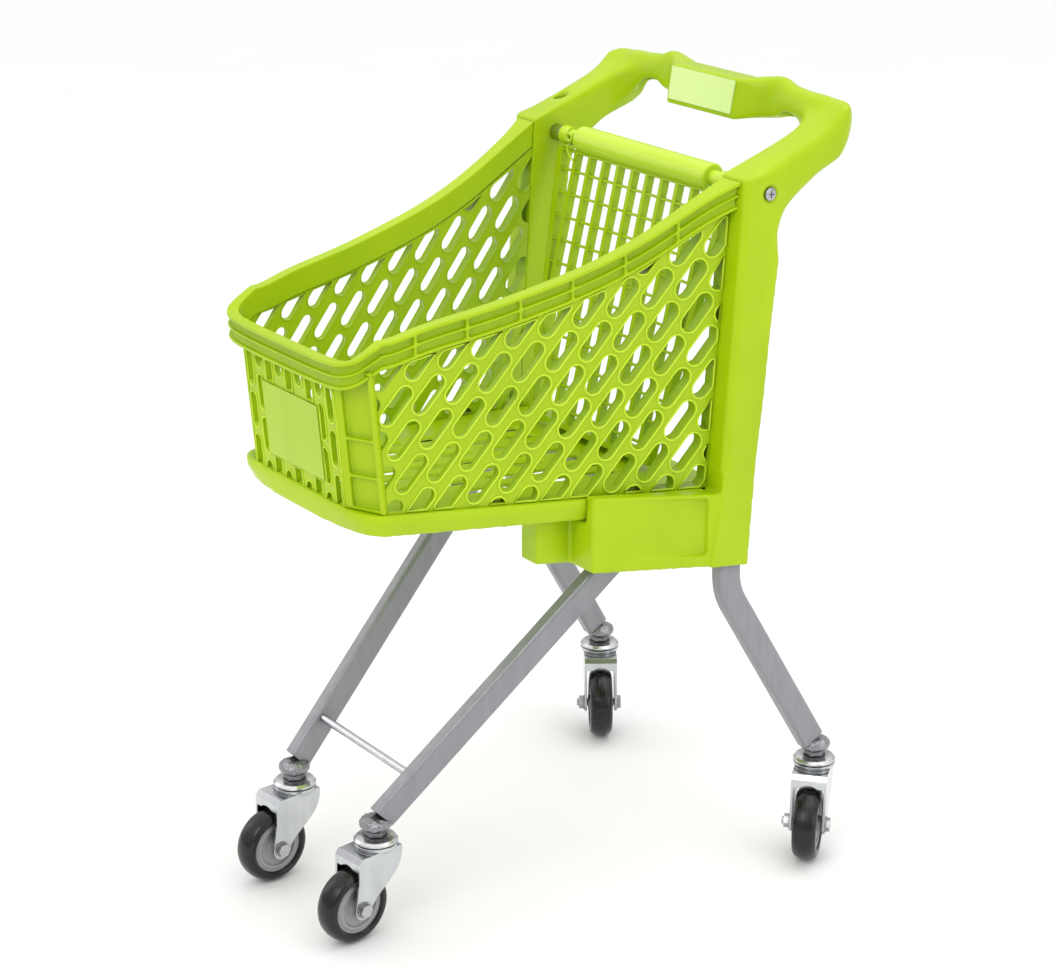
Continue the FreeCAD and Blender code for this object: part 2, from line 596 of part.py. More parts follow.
# ----------------------------------------------------------------------- gate
def build_gate():
    """Drawn upright below the hinge axis, then leaned forward at the hinge."""
    t = GATE_T / 2
    top, bot = -ROLL_R + 1.5, -GATE_LEN

    def half(z):
        return GATE_TOP_W + (GATE_BOT_W - GATE_TOP_W) * (z - top) / (bot - top)
    outer = prism([(-half(top), -t, top), (half(top), -t, top), (half(bot), -t, bot), (-half(bot), -t, bot)],
                  (0, 2 * t, 0))
    e = 6.0
    inner = prism([(-half(top) + e, -t - 1, top + 20), (half(top) - e, -t - 1, top + 20),
                   (half(bot) - e, -t - 1, bot + e), (-half(bot) + e, -t - 1, bot + e)], (0, 2 * t + 2, 0))
    bars = []
    for k in range(5):
        for s in (-1, 1):
            x = s * (k + 0.5) * BAR_PITCH
            bars.append(box(x - 2.6, x + 2.6, -t, t, bot, top))
    z = top - 21.5
    while z > bot + 8:
        bars.append(box(-150, 150, -t + 0.6, t - 2.4, z - 1.1, z + 1.1))
        z -= RIB_PITCH
    grid = fuse(bars).common(outer)
    head = box(-150, 150, -t, t, top - 3.5, top).common(outer)
    panel = fuse([outer.cut(inner), grid, head])
    panel = panel.cut(rod(ROLL_R, (-200, 0, 0), (200, 0, 0)))
    roll = rod(ROLL_R, (-105.0, 0, 0), (105.0, 0, 0))
    roll = roll.makeFillet(2.5, [ed for ed in roll.Edges if isinstance(ed.Curve, Part.Circle)])
    roll = roll.fuse(rod(7.5, (-134.0, 0, 0), (134.0, 0, 0)))
    roll = roll.fuse([rod(9.5, (-134.0, 0, 0), (-121.0, 0, 0)), rod(9.5, (121.0, 0, 0), (134.0, 0, 0))])
    roll = roll.removeSplitter()
    roll = roll.cut(rod(AXLE_R + RUN, (-200, 0, 0), (200, 0, 0)))
    for sh in (panel, roll):
        sh.rotate(V(0, 0, 0), V(1, 0, 0), -GATE_LEAN)
        sh.translate(V(0, HINGE_Y, HINGE_Z))
    add("gate_panel", panel)
    add("gate_roll", roll)
    axle = rod(AXLE_R, (-COL_IN, HINGE_Y, HINGE_Z), (COL_IN, HINGE_Y, HINGE_Z))
    collar = rod(8.5, (136.0, HINGE_Y, HINGE_Z), (COL_IN, HINGE_Y, HINGE_Z))
    axle = axle.fuse([collar, mirror(collar)]).removeSplitter()
    axle = axle.cut(rod(3.0, (COL_IN - 12, HINGE_Y, HINGE_Z), (COL_IN + 2, HINGE_Y, HINGE_Z)))
    axle = axle.cut(rod(3.0, (-COL_IN + 12, HINGE_Y, HINGE_Z), (-COL_IN - 2, HINGE_Y, HINGE_Z)))
    add("gate_rod", axle)
    x0 = COL_OUT - 1.0
    head = rod(6.4, (x0, HINGE_Y, HINGE_Z), (x0 + 3.4, HINGE_Y, HINGE_Z))
    head = head.makeFillet(1.8, [ed for ed in head.Edges if ed.BoundBox.XMin > x0 + 3])
    shank = rod(2.95, (COL_IN - 11.0, HINGE_Y, HINGE_Z), (x0 + 1, HINGE_Y, HINGE_Z))
    screw = head.fuse(shank).removeSplitter()
    for w, h in ((1.1, 6.4), (6.4, 1.1)):
        screw = screw.cut(box(x0 + 2.0, x0 + 5, HINGE_Y - h / 2, HINGE_Y + h / 2, HINGE_Z - w / 2, HINGE_Z + w / 2))
    add("pivot_screws", Part.makeCompound([screw, mirror(screw)]))


# ---------------------------------------------------------------------- frame
def build_frame(tray):
    # front leg: straight flat-oval tube from the stem boss up to the cross tube
    lo, hi = V(79.0, -457.0, 119.0), V(139.3, -155.9, 405.6)
    d = hi - lo
    d.normalize()
    wide = V(0, -d.z, d.y)
    st = []
    for t in (0.0, 0.5, 1.0):
        c = lo + (hi - lo) * t
        st.append(((c.x, c.y, c.z), (wide.x, wide.y, wide.z)))
    leg = swept_tube(st, TUBE_W, TUBE_T, 4.5)
    leg = leg.cut(box(0, 250, -400, 100, 390.0, 500))
    add_pair("front_leg", leg)
    # rear leg: upright inside the column, then kicked back to the stem
    top, knee, foot = (174.5, -117.0), (-115.0, 305.0), (183.2, -5.0, 121.0)
    kick = math.atan2(foot[1] - knee[0], knee[1] - foot[2])
    bend = 60.0
    st = [((174.5, -117.0, 392.0), (0, 1, 0)), ((174.5, -117.0, 345.0), (0, 1, 0))]
    z_in = knee[1] + bend * math.tan(kick / 2)
    y0 = -117.0
    for i in range(0, 9):
        t = kick * i / 8
        y = y0 + bend * (1 - math.cos(t))
        z = z_in - bend * math.sin(t)
        st.append(((174.5, y, z), (0, math.cos(t), math.sin(t))))
    end = st[-1][0]
    run = (end[2] - foot[2]) / math.cos(kick)
    st.append(((foot[0], end[1] + run * math.sin(kick), foot[2]), st[-1][1]))
    n = len(st)
    for i in range(2, n - 1):
        f = (436.0 - st[i][0][2]) / (436.0 - foot[2])
        st[i] = ((top[0] + (foot[0] - top[0]) * max(0.0, (f - 0.29) / 0.71), st[i][0][1], st[i][0][2]), st[i][1])
    add_pair("rear_leg", swept_tube(st, TUBE_W, TUBE_T, 4.5, True))
    # cross tubes and short side rails under the tray
    front = box(-134, 134, -182, -157, 390.0, 409.0)
    rear = box(-149.8, 149.8, -132, -107, 386.0, 404.9)
    front = front.cut(box(-131, 131, -179, -160, 393, 406))
    rear = rear.cut(box(-140, 140, -129, -110, 389, 401.9)).cut(tray)
    for s in (-1, 1):
        front = front.cut(rod(3.3, (s * 100.0, -169.5, 380), (s * 100.0, -169.5, 412)))
    add("cross_tube_front", front)
    add("cross_tube_rear", rear)
    add_pair("side_rail", box(112, 128, -157, -132, 390.0, 404.0))
    tie = rod(TIE_R, (-82.0, -426.0, 156.0), (82.0, -426.0, 156.0))
    add("tie_rod", tie.cut(leg).cut(mirror(leg)).Solids[0])


def build_tray_bolts():
    bolts = []
    for s in (-1, 1):
        x = s * 100.0
        z1 = lip_z(-169.5) - 4.5
        b = fuse([rod(3.0, (x, -169.5, 388.0), (x, -169.5, z1 - 0.1)), rod(6.0, (x, -169.5, 386.0), (x, -169.5, 390.0))])
        bolts.append(b)
    add("tray_bolts", Part.makeCompound(bolts))


# -------------------------------------------------------------------- casters
def revolve(profile):
    """Revolve an (r, z) outline about the local Z axis."""
    return Part.Face(wire([(r, 0, z) for r, z in profile])).revolve(V(0, 0, 0), V(0, 0, 1), 360)


def fork_leg(x0, x1):
    """Stamped leg: straight on the trailing side, bulging and tapering ahead."""
    top = 91.0
    t = -TRAIL
    e = [line((x0, t - 10.0, 38.0), (x0, -36.2, 66.0)), line((x0, -36.2, 66.0), (x0, -35.6, 86.0)),
         line((x0, -35.6, 86.0), (x0, -32.0, top)), line((x0, -32.0, top), (x0, 17.5, top)),
         spline_edge([(x0, 17.5, top), (x0, 17.0, 82), (x0, 12.5, 70), (x0, -1.5, 56), (x0, -13.5, 46),
                      (x0, t + 10.0, 38.0)]),
         Part.Arc(V(x0, t + 10.0, 38.0), V(x0, t, 27.2), V(x0, t - 10.0, 38.0)).toShape()]
    return Part.Face(Part.Wire(e)).extrude(V(x1 - x0, 0, 0))


def build_caster(tag, stem_x, stem_y, heading):
    gap = 0.6
    # fixed stem: kingpin, nut, weld boss
    nut_z = CAP_TOP + 0.0
    pin = rod(KINGPIN_R, (0, 0, 84.0), (0, 0, nut_z + 4))
    flange = rod(11.0, (0, 0, 80.6), (0, 0, 84.4))
    hexa = Part.Face(wire([(11.5 * math.cos(math.radians(60 * i)), 11.5 * math.sin(math.radians(60 * i)), nut_z)
                           for i in range(6)])).extrude(V(0, 0, 7.5))
    neck = revolve([(0, nut_z + 6), (10.5, nut_z + 6), (13.8, nut_z + 7.8), (15.6, nut_z + 10.5),
                    (15.8, nut_z + 13.0), (14.2, nut_z + 16.0), (10.0, nut_z + 18.5), (0, nut_z + 19.5)])
    stem = fuse([pin, flange, hexa, neck])
    # fixed upper bearing cap
    cap = revolve([(KINGPIN_R + 0.1, 95.3), (CAP_R - 2.0, 95.3), (CAP_R, 96.0), (CAP_R, 97.6), (CAP_R - 2.5, 99.8),
                   (14.0, CAP_TOP - 0.1), (KINGPIN_R + 0.1, CAP_TOP - 0.1)])
    # swivelling fork
    race = revolve([(KINGPIN_R + RUN, 88.0), (18.3, 88.0), (20.8, 90.0), (CAP_R, 92.0), (CAP_R, 94.0),
                    (CAP_R - 1.0, 95.3 - gap), (KINGPIN_R + RUN, 95.3 - gap)])
    crown = box(-FORK_IN - FORK_T, FORK_IN + FORK_T, -32.0, 17.5, 88.0, 91.0)
    arch = slab_yz([(-36.2, 66.0), (-35.6, 86.0), (-32.0, 91.0), (-29.0, 91.0), (-33.0, 86.0), (-33.6, 66.0)],
                   -FORK_IN - FORK_T, FORK_IN + FORK_T)
    arch = arch.cut(rod(FORK_IN - 1.5, (0, -60, 66.5), (0, 0, 66.5)))
    arch = arch.cut(box(-FORK_IN + 1.5, FORK_IN - 1.5, -60, 0, 50, 66.5))
    legs = [fork_leg(-FORK_IN - FORK_T, -FORK_IN), fork_leg(FORK_IN, FORK_IN + FORK_T)]
    fork = fuse([race, crown, arch] + legs)
    fork = fork.cut(rod(KINGPIN_R + RUN, (0, 0, 60), (0, 0, 120)))
    fork = fork.cut(rod(AXLE_R, (-40, -TRAIL, WHEEL_R), (40, -TRAIL, WHEEL_R)))
    fork = fork.cut(rod(WHEEL_R + 2.5, (-FORK_IN, -TRAIL, WHEEL_R), (FORK_IN, -TRAIL, WHEEL_R)))
    fork = fork.cut(rod(11.6, (0, 0, 60), (0, 0, 88.0)))
    # axle bolt with a hex head on one side and a nut on the other
    out = FORK_IN + FORK_T

    def hexagon(x0, x1, r):
        pts = [(x0, -TRAIL + r * math.cos(math.radians(60 * i)), WHEEL_R + r * math.sin(math.radians(60 * i)))
               for i in range(6)]
        return Part.Face(wire(pts)).extrude(V(x1 - x0, 0, 0))
    axle = rod(AXLE_R, (-out - 8.5, -TRAIL, WHEEL_R), (out, -TRAIL, WHEEL_R))
    head = hexagon(out, out + 4.6, 7.2)
    washer = rod(8.2, (out, -TRAIL, WHEEL_R), (out + 1.0, -TRAIL, WHEEL_R))
    axle = fuse([axle, head, washer])
    nut = fuse([hexagon(-out - 6.2, -out, 7.2), rod(8.2, (-out - 1.0, -TRAIL, WHEEL_R), (-out, -TRAIL, WHEEL_R))])
    nut = nut.cut(rod(AXLE_R, (-40, -TRAIL, WHEEL_R), (0, -TRAIL, WHEEL_R)))
    # wheel about its own axis, revolved about local Z then laid over
    w, hw = WHEEL_W / 2, HUB_W / 2
    hub = revolve([(AXLE_R + RUN, -hw - 3.0), (8.0, -hw - 3.0), (8.8, -hw), (12.0, -hw + 1.6), (19.0, -hw + 1.6),
                   (20.2, -hw), (22.6, -hw), (24.2, -hw + 1.0), (HUB_R, -hw + 1.0), (HUB_R, hw - 1.0),
                   (24.2, hw - 1.0), (22.6, hw), (20.2, hw), (19.0, hw - 1.6), (12.0, hw - 1.6), (8.8, hw),
                   (8.0, hw + 3.0), (AXLE_R + RUN, hw + 3.0)])
    tyre_pts = [(HUB_R, -hw + 1.0), (HUB_R, hw - 1.0), (HUB_R + 1.2, w - 0.7), (HUB_R + 3.0, w)]
    for i in range(1, 12):
        t = math.radians(90 - 180.0 * i / 12)
        tyre_pts.append((HUB_R + 3.0 + (WHEEL_R - HUB_R - 3.0) * math.cos(t) ** 0.75, w * math.sin(t)))
    tyre_pts += [(HUB_R + 3.0, -w), (HUB_R + 1.2, -w + 0.7)]
    tyre = revolve(tyre_pts)
    for sh in (hub, tyre):
        sh.rotate(V(0, 0, 0), V(0, 1, 0), 90)
        sh.translate(V(0, -TRAIL, WHEEL_R))
    pieces = {"stem": stem, "race": cap, "fork": fork, "axle": axle, "axle_nut": nut, "hub": hub, "tyre": tyre}
    for key, sh in pieces.items():
        if key in ("fork", "axle", "axle_nut", "hub", "tyre"):
            sh.rotate(V(0, 0, 0), V(0, 0, 1), heading)
        sh.translate(V(stem_x, stem_y, 0))
        add("%s_%s" % (key, tag), sh)


# ----------------------------------------------------------------------- main
def main():
    col = build_columns()
    rim = build_side_rim(col)
    front_rim = build_front_rim()
    tray = build_tray(col)
    post = build_corner_post(tray).cut(front_rim)
    wall = build_side_wall(col).cut(post).cut(front_rim).cut(rim)
    add("side_wall_left", max(wall.Solids, key=lambda q: q.Volume))
    wall = build_side_wall(col, 0.42, (5.5, 2.5), 1.2).cut(post).cut(front_rim).cut(rim)
    add("side_wall_right", mirror(max(wall.Solids, key=lambda q: q.Volume)))
    add_pair("side_rim", max(rim.Solids, key=lambda q: q.Volume))
    add("front_rim", front_rim)
    add("tray", tray)
    build_front_wall(tray)
    NODES["front_wall"] = NODES["front_wall"].cut(front_rim)
    add_pair("corner_post", post)
    foot = build_foot_box(col, tray)
    build_handle(col)
    build_gate()
    build_frame(tray)
    foot = foot.cut(NODES["front_leg_left"]).cut(NODES["cross_tube_front"]).cut(NODES["side_rail_left"])
    add_pair("foot_box", max(foot.Solids, key=lambda q: q.Volume))
    build_tray_bolts()
    for side, sx in (("left", 1), ("right", -1)):
        build_caster("front_" + side, sx * FRONT_STEM[0], FRONT_STEM[1], HEADINGS["front_" + side])
        build_caster("rear_" + side, sx * REAR_STEM[0], REAR_STEM[1], HEADINGS["rear_" + side])
    # legs are coped round the stem bosses
    for end in ("front", "rear"):
        for side in ("left", "right"):
            leg = "%s_leg_%s" % (end, side)
            cut = NODES[leg].cut(box(-300, 300, -700, 300, 0, CAP_TOP + 9.0))
            cut = cut.cut(NODES["stem_%s_%s" % (end, side)])
            NODES[leg] = max(cut.Solids, key=lambda q: q.Volume)
    os.makedirs("parts", exist_ok=True)
    for name, shape in NODES.items():
        solids = shape.Solids
        if len(solids) > 1:
            shape = Part.makeCompound(sorted(solids, key=lambda s: -s.Volume))
        elif len(solids) == 1:
            shape = solids[0]
        shape = shape.copy()
        shape.translate(V(0, REAR_STEM_Y, 0))
        shape.exportStep("parts/%s.step" % name)
        print("%-24s solids %d valid %s volume %.1f" % (name, len(solids), shape.isValid(), shape.Volume))


main()
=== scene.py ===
import bpy
import bmesh
import json
import math
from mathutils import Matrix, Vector, noise


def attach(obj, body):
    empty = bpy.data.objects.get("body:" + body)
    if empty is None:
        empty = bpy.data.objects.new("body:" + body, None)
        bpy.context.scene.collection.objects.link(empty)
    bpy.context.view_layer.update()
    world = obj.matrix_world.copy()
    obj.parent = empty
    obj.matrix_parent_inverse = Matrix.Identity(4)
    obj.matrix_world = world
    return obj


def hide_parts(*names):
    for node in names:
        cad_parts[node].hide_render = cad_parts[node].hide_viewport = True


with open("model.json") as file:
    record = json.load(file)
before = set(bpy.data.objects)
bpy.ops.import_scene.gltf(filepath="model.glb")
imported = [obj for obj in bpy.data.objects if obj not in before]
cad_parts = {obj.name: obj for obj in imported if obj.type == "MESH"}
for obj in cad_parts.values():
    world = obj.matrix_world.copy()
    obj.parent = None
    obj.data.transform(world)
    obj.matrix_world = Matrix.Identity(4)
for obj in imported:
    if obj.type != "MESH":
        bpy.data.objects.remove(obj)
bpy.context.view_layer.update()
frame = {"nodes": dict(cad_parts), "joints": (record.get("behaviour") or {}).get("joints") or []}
CAD = frame["nodes"]
CASTERS = ("front_left", "front_right", "rear_left", "rear_right")

# All lengths are in metres.
CAMERA_AT = (2.02388, -1.41744, 1.27150)
CAMERA_AZIMUTH, CAMERA_ELEVATION = 54.674, 19.746
CAMERA_LENS_MM, CAMERA_SENSOR_MM = 90.40, 36.0

# How far the slotted faces lean: y for the side walls, z for the front wall.
SIDE_OUTER_LEAN, SIDE_INNER_LEAN, FRONT_LEAN = -0.148, 0.122, -0.0885
OUTER_LIP, FRONT_LIP, INNER_LIP = 0.0011, 0.0009, 0.0007
LONGEST_SLOT = 0.2
SHORTEST_STEP = 0.0006

# The grips are smoothed further, above this height and outside the centre block.
GRIP_HEIGHTS = (0.716, 0.738)
GRIP_DISTANCES = (0.054, 0.070)
GRIP_ROUNDS = 45

# The weld bead is the part of the stem between these heights and above.
WELD_HEIGHTS = (0.1075, 0.111)
WELD_GRAIN = 260.0
WELD_LUMP, WELD_SMALL_LUMP = 0.0007, 0.0003

MERGE = 2e-6


# ------------------------------------------------------------------ camera
def make_camera():
    cam = bpy.data.cameras.new("camera")
    ob = bpy.data.objects.new("camera", cam)
    bpy.context.collection.objects.link(ob)
    az, el = math.radians(CAMERA_AZIMUTH), math.radians(CAMERA_ELEVATION)
    back = Vector((math.sin(az) * math.cos(el), -math.cos(az) * math.cos(el), math.sin(el)))
    ob.location = CAMERA_AT
    ob.rotation_euler = (-back).to_track_quat("-Z", "Y").to_euler()
    cam.lens = CAMERA_LENS_MM
    cam.sensor_width = CAMERA_SENSOR_MM
    cam.clip_end = 50.0
    bpy.context.scene.camera = ob


# --------------------------------------------------------------- materials
def rgb(r, g, b):
    return (r, g, b, 1)


def grey(v):
    return (v, v, v, 1)


def shade(colour, part):
    """The same colour, darker."""
    return tuple(c * part for c in colour[:3]) + (1,)


class Nodes:
    """One material and short forms for the nodes in it."""

    def __init__(self, name):
        self.mat = bpy.data.materials.new(name)
        self.mat.use_nodes = True
        self.tree = self.mat.node_tree
        self.tree.nodes.clear()
        self.out = self.add("ShaderNodeOutputMaterial")
        self.bsdf = self.add("ShaderNodeBsdfPrincipled")
        self.link(self.bsdf.outputs[0], self.out.inputs[0])
        self.coord = self.add("ShaderNodeTexCoord")

    def add(self, kind, **props):
        n = self.tree.nodes.new(kind)
        for k, v in props.items():
            setattr(n, k, v)
        return n

    def link(self, a, b):
        self.tree.links.new(a, b)

    def put(self, node, socket, value):
        """Links an output, or sets a constant."""
        s = node.inputs[socket]
        if hasattr(value, "is_output"):
            self.link(value, s)
        else:
            s.default_value = value

    def set(self, **values):
        for k, v in values.items():
            self.put(self.bsdf, k.replace("_", " "), v)

    def noise(self, scale, detail=4.0, rough=0.55, stretch=None, distortion=0.0):
        vec = self.coord.outputs["Object"]
        if stretch:
            m = self.add("ShaderNodeMapping")
            m.inputs["Scale"].default_value = stretch
            self.link(vec, m.inputs["Vector"])
            vec = m.outputs[0]
        n = self.add("ShaderNodeTexNoise")
        self.link(vec, n.inputs["Vector"])
        n.inputs["Scale"].default_value = scale
        n.inputs["Detail"].default_value = detail
        n.inputs["Roughness"].default_value = rough
        n.inputs["Distortion"].default_value = distortion
        return n.outputs["Fac"]

    def voronoi(self, scale):
        n = self.add("ShaderNodeTexVoronoi")
        self.link(self.coord.outputs["Object"], n.inputs["Vector"])
        n.inputs["Scale"].default_value = scale
        return n.outputs["Distance"]

    def ramp(self, fac, lo, hi, a=0.0, b=1.0):
        """Maps lo..hi to a..b, clamped."""
        n = self.add("ShaderNodeMapRange")
        n.clamp = True
        self.put(n, 0, fac)
        for socket, value in enumerate((lo, hi, a, b), 1):
            n.inputs[socket].default_value = value
        return n.outputs[0]

    def math(self, op, a, b=0.5):
        n = self.add("ShaderNodeMath", operation=op)
        self.put(n, 0, a)
        self.put(n, 1, b)
        return n.outputs[0]

    def mix(self, fac, a, b):
        n = self.add("ShaderNodeMix", data_type="RGBA", blend_type="MIX")
        self.put(n, 0, fac)
        self.put(n, 6, a)
        self.put(n, 7, b)
        return n.outputs[2]

    def occlusion(self, reach):
        n = self.add("ShaderNodeAmbientOcclusion")
        n.samples = 4
        n.inputs["Distance"].default_value = reach
        return n.outputs["AO"]

    def bump(self, height, strength, dist, round_edges=0.0):
        """Relief from a height, on edges that look rounded."""
        b = self.add("ShaderNodeBump")
        b.inputs["Strength"].default_value = strength
        b.inputs["Distance"].default_value = dist
        self.put(b, "Height", height)
        if round_edges:
            v = self.add("ShaderNodeBevel")
            v.samples = 4
            v.inputs["Radius"].default_value = round_edges
            self.link(v.outputs[0], b.inputs["Normal"])
        self.link(b.outputs[0], self.bsdf.inputs["Normal"])


def green_plastic(name, base, deep, bright, rough=0.34, round_edges=0.0, grain=1.0, glow=0.0):
    """Moulded plastic: soft clouding, flow marks, painted shade in the corners and recesses, and fine
    scuffs.
    """
    corner_shade_colour, scuff_colour = rgb(0.26, 0.32, 0.07), rgb(0.70, 0.88, 0.30)
    m = Nodes(name)
    cloud = m.noise(5.0, 3.0, 0.6)
    flow = m.noise(16.0, 5.0, 0.6, (1.0, 1.0, 0.35), 0.4)
    col = m.mix(m.ramp(cloud, 0.32, 0.68), base, bright)
    col = m.mix(m.ramp(flow, 0.45, 0.8, 0.0, 0.25), col, deep)
    # Painted shade: the colour goes to the deep green where the occlusion finds corners and recesses, and
    # darker still in the deepest ones.
    open_sky = m.occlusion(0.026)
    col = m.mix(m.ramp(open_sky, 0.0, 0.8), deep, col)
    col = m.mix(m.ramp(open_sky, 0.0, 0.22), shade(deep, 0.45), col)
    # Painted shade: darker olive patches, broken up by noise, only in the corners the occlusion finds.
    dust = m.math("MULTIPLY", m.ramp(m.noise(38.0, 6.0, 0.7), 0.56, 0.8), m.ramp(open_sky, 0.85, 0.3))
    col = m.mix(m.math("MULTIPLY", dust, 0.3), col, corner_shade_colour)
    scuff = m.ramp(m.noise(90.0, 2.0, 0.5, (1.0, 0.16, 1.0), 1.5), 0.68, 0.76)
    scuff = m.math("MULTIPLY", scuff, m.ramp(m.noise(7.0, 2.0), 0.52, 0.66))
    col = m.mix(m.math("MULTIPLY", scuff, 0.14), col, scuff_colour)
    patches = m.ramp(m.noise(26.0, 5.0, 0.65), 0.3, 0.7, rough - 0.05, rough + 0.07)
    m.set(Base_Color=col, Roughness=m.math("ADD", patches, m.math("MULTIPLY", scuff, 0.2)))
    m.bsdf.inputs["Specular IOR Level"].default_value = 0.26
    m.bsdf.inputs["Coat Weight"].default_value = 0.02 + glow
    m.bsdf.inputs["Coat Roughness"].default_value = 0.2
    height = m.math("ADD", m.math("MULTIPLY", m.noise(900.0, 2.0, 0.5), 0.25), m.noise(34.0, 3.0, 0.5))
    height = m.math("SUBTRACT", height, m.math("MULTIPLY", scuff, 0.25))
    m.bump(height, 0.22 * grain, 0.0006, round_edges)
    return m.mat


def metal(name, base, dark, rough, metallic=1.0, streak=(1, 1, 1), round_edges=0.0008, wear=0.3, coat=0.0,
          bump=0.15, scale=60.0, reach=0.016):
    """Metal, paint or hard plastic: streaks, painted shade in the corners and small worn spots."""
    m = Nodes(name)
    streaks = m.noise(scale, 5.0, 0.6, streak, 0.3)
    patches = m.noise(9.0, 3.0, 0.5)
    col = m.mix(m.ramp(streaks, 0.35, 0.7, 0.0, 0.55), base, dark)
    col = m.mix(m.ramp(patches, 0.4, 0.75, 0.0, 0.35), col, dark)
    # Painted shade: darker towards the dark colour where the occlusion, out to reach, finds corners and
    # recesses.
    col = m.mix(m.ramp(m.occlusion(reach), 0.2, 0.9), shade(dark, 0.4), col)
    spots = m.math("MULTIPLY", m.ramp(m.voronoi(160.0), 0.16, 0.05), m.ramp(m.noise(24.0, 2.0), 0.56, 0.68))
    col = m.mix(m.math("MULTIPLY", spots, wear), col, rgb(0.16, 0.12, 0.09))
    worn = m.math("ADD", streaks, m.math("MULTIPLY", spots, 0.5))
    m.set(Base_Color=col, Metallic=metallic, Roughness=m.ramp(worn, 0.25, 0.9, rough * 0.75, rough * 1.5))
    m.bsdf.inputs["Coat Weight"].default_value = coat
    m.bsdf.inputs["Coat Roughness"].default_value = 0.15
    m.bump(streaks, bump, 0.0004, round_edges)
    return m.mat


def rubber(name):
    """Polished black rubber with a little floor dust."""
    m = Nodes(name)
    mottle = m.noise(70.0, 5.0, 0.65)
    dust = m.math("MULTIPLY", m.ramp(m.noise(30.0, 6.0, 0.7), 0.52, 0.8), 0.35)
    col = m.mix(m.ramp(mottle, 0.3, 0.7), rgb(0.004, 0.004, 0.005), rgb(0.010, 0.010, 0.012))
    col = m.mix(dust, col, rgb(0.030, 0.029, 0.028))
    m.set(Base_Color=col, Roughness=m.ramp(mottle, 0.3, 0.75, 0.2, 0.36))
    m.bsdf.inputs["Specular IOR Level"].default_value = 0.3
    m.bsdf.inputs["Coat Weight"].default_value = 0.22
    m.bsdf.inputs["Coat Roughness"].default_value = 0.12
    m.bump(m.math("ADD", mottle, m.math("MULTIPLY", m.noise(500.0, 2.0), 0.3)), 0.12, 0.0005)
    return m.mat


def make_greens():
    base, bright, deep = rgb(0.385, 0.550, 0.001), rgb(0.430, 0.605, 0.003), rgb(0.215, 0.385, 0.001)
    return {
        "shell": green_plastic("green_plastic_shell", base, deep, bright),
        "crisp": green_plastic("green_plastic_crisp", base, deep, bright, round_edges=0.0012),
        "wall": green_plastic("green_plastic_wall", rgb(0.400, 0.570, 0.010), rgb(0.22, 0.39, 0.001), base,
                              round_edges=0.0014),
        # Painted highlight: the lip green is a lighter copy of the same plastic, for lips that catch the
        # light.
        "lip": green_plastic("green_plastic_lip_highlight", rgb(0.52, 0.72, 0.02), base, rgb(0.58, 0.78, 0.04),
                             rough=0.28),
        # Painted highlight: the roll green is a lighter copy of the same plastic, for a roll that catches
        # the light; glow only adds clear coat.
        "roll": green_plastic("green_plastic_roll_highlight", rgb(0.50, 0.70, 0.02), base, rgb(0.56, 0.76, 0.04),
                              rough=0.22, round_edges=0.001, glow=0.3),
        "label": green_plastic("green_plastic_label", rgb(0.415, 0.59, 0.035), deep, rgb(0.44, 0.62, 0.05),
                               rough=0.42, grain=0.5, round_edges=0.0008),
        "plaque": green_plastic("green_plastic_plaque", rgb(0.72, 0.90, 0.34), base, rgb(0.76, 0.93, 0.40),
                                rough=0.3, grain=0.4, round_edges=0.0008),
    }


def make_greys():
    return {
        "leg": metal("grey_paint", rgb(0.285, 0.285, 0.305), rgb(0.225, 0.225, 0.245), 0.36, metallic=0.3,
                     streak=(1, 1, 0.2), round_edges=0.0009, wear=0.25, coat=0.2, bump=0.2, scale=90.0,
                     reach=0.01),
        "stem": metal("stem_steel", rgb(0.36, 0.36, 0.38), rgb(0.17, 0.17, 0.18), 0.3, metallic=0.85,
                      round_edges=0.0005, wear=0.5, coat=0.2, bump=0.7, scale=120.0),
        # The zinc's wider reach paints more shade round the wheel arch.
        "zinc": metal("zinc_plate", rgb(0.68, 0.69, 0.71), rgb(0.46, 0.47, 0.49), 0.2, streak=(1, 1, 0.3),
                      round_edges=0.0009, wear=0.2, reach=0.03),
        "race": metal("zinc_race", rgb(0.74, 0.75, 0.76), rgb(0.48, 0.48, 0.49), 0.18, streak=(0.2, 0.2, 1),
                      wear=0.4),
        "bolt": metal("bolt_steel", rgb(0.60, 0.60, 0.62), rgb(0.30, 0.30, 0.32), 0.24, round_edges=0.0006,
                      wear=0.4),
        "hub": metal("hub_plastic", rgb(0.36, 0.36, 0.37), rgb(0.25, 0.25, 0.26), 0.4, metallic=0.1,
                     round_edges=0.0006, wear=0.1, coat=0.1),
        "tyre": rubber("black_tyre"),
    }


# Material of each CAD node, by the start of its name; every other node is crisp green.
LOOKS = (
    (("front_leg", "rear_leg", "cross_tube", "side_rail"), "leg"),
    (("stem_",), "stem"),
    (("race_",), "race"),
    (("fork_", "tie_rod", "gate_rod"), "zinc"),
    (("axle", "pivot_screw", "tray_bolt"), "bolt"),
    (("hub_",), "hub"),
    (("tyre_",), "tyre"),
    (("side_wall",), "wall"),
    (("gate_roll",), "roll"),
    (("front_label_panel",), "label"),
    (("handle_plaque",), "plaque"),
)


def paint_cad():
    for name, ob in CAD.items():
        key = next((key for starts, key in LOOKS if name.startswith(starts)), "crisp")
        if not ob.material_slots:
            ob.data.materials.append(MATERIALS[key])
        for s in ob.material_slots:
            s.material = MATERIALS[key]


# ------------------------------------------------------------- mesh helpers
def ease(v, lo, hi):
    """0 below lo, 1 above hi, and a smooth step between them."""
    t = max(0.0, min(1.0, (v - lo) / (hi - lo)))
    return t * t * (3 - 2 * t)


def finish_mesh(name, bm, mat, body):
    me = bpy.data.meshes.new(name)
    bm.to_mesh(me)
    bm.free()
    for p in me.polygons:
        p.use_smooth = True
    ob = bpy.data.objects.new(name, me)
    bpy.context.collection.objects.link(ob)
    ob.data.materials.append(mat)
    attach(ob, body)
    return ob


